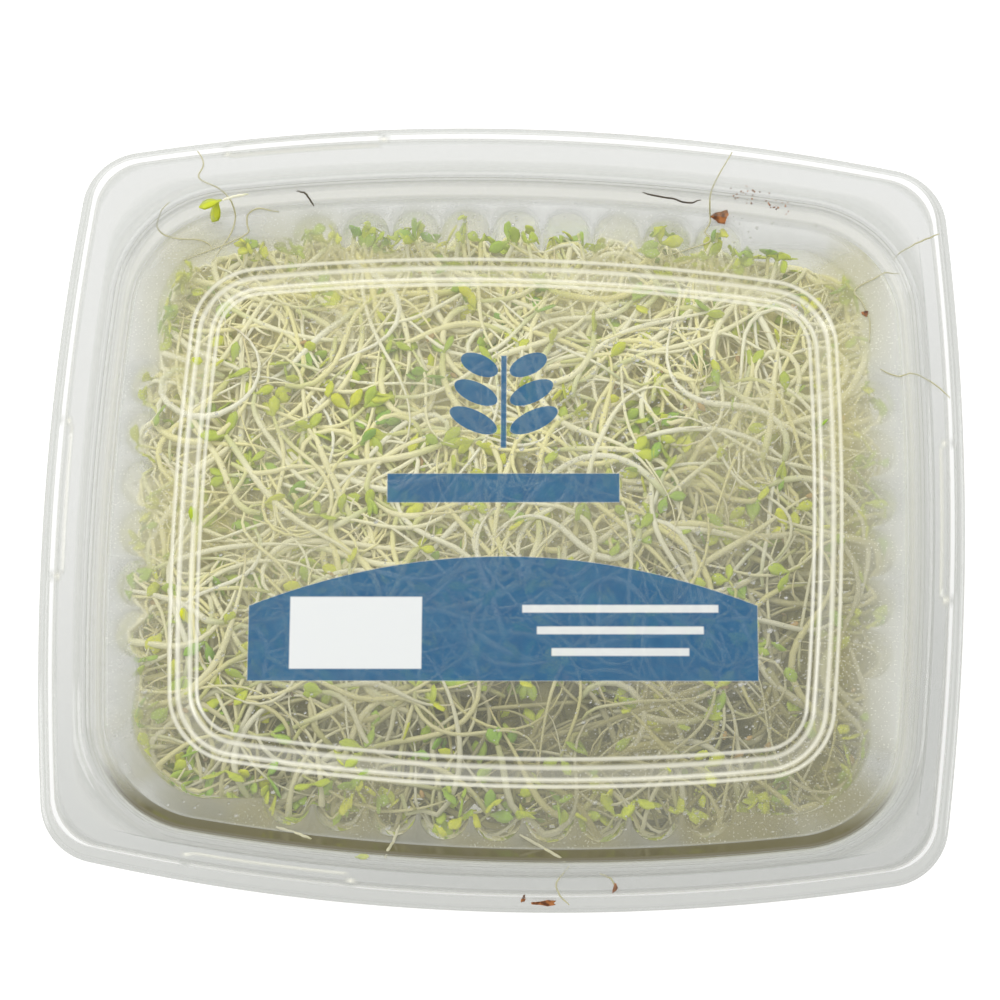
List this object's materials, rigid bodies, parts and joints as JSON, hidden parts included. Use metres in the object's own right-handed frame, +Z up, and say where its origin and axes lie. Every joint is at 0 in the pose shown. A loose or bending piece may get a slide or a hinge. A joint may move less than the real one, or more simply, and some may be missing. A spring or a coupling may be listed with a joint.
{
  "type": "tub of alfalfa sprouts",
  "caption": "Clear lidded plastic tub with fluted sides, filled with tangled pale alfalfa sprouts with small green seed leaves, and a plain blue film label on its lid.",
  "frame": {"origin": "under the middle of the lid's outline, on the surface that the tray stands on", "axes": "+X along the long side to the right, +Y to the back, +Z up"},
  "size_m": [0.1898, 0.1662, 0.057],
  "materials": {
    "clear_tray": "clear formed sheet, glossy, slightly grey",
    "clear_lid": "clear formed sheet, glossy, misted with fine drops on its underside",
    "sprouts": "moist plant tissue, ivory stems, yellow-green seed leaves, brown seed coats",
    "film_label": "thin glossy film with a see-through blue print"
  },
  "bodies": {
    "root": {"tray": "clear_tray", "sprouts": "sprouts", "lid": "clear_lid", "label": "film_label"}
  },
  "joints": []
}
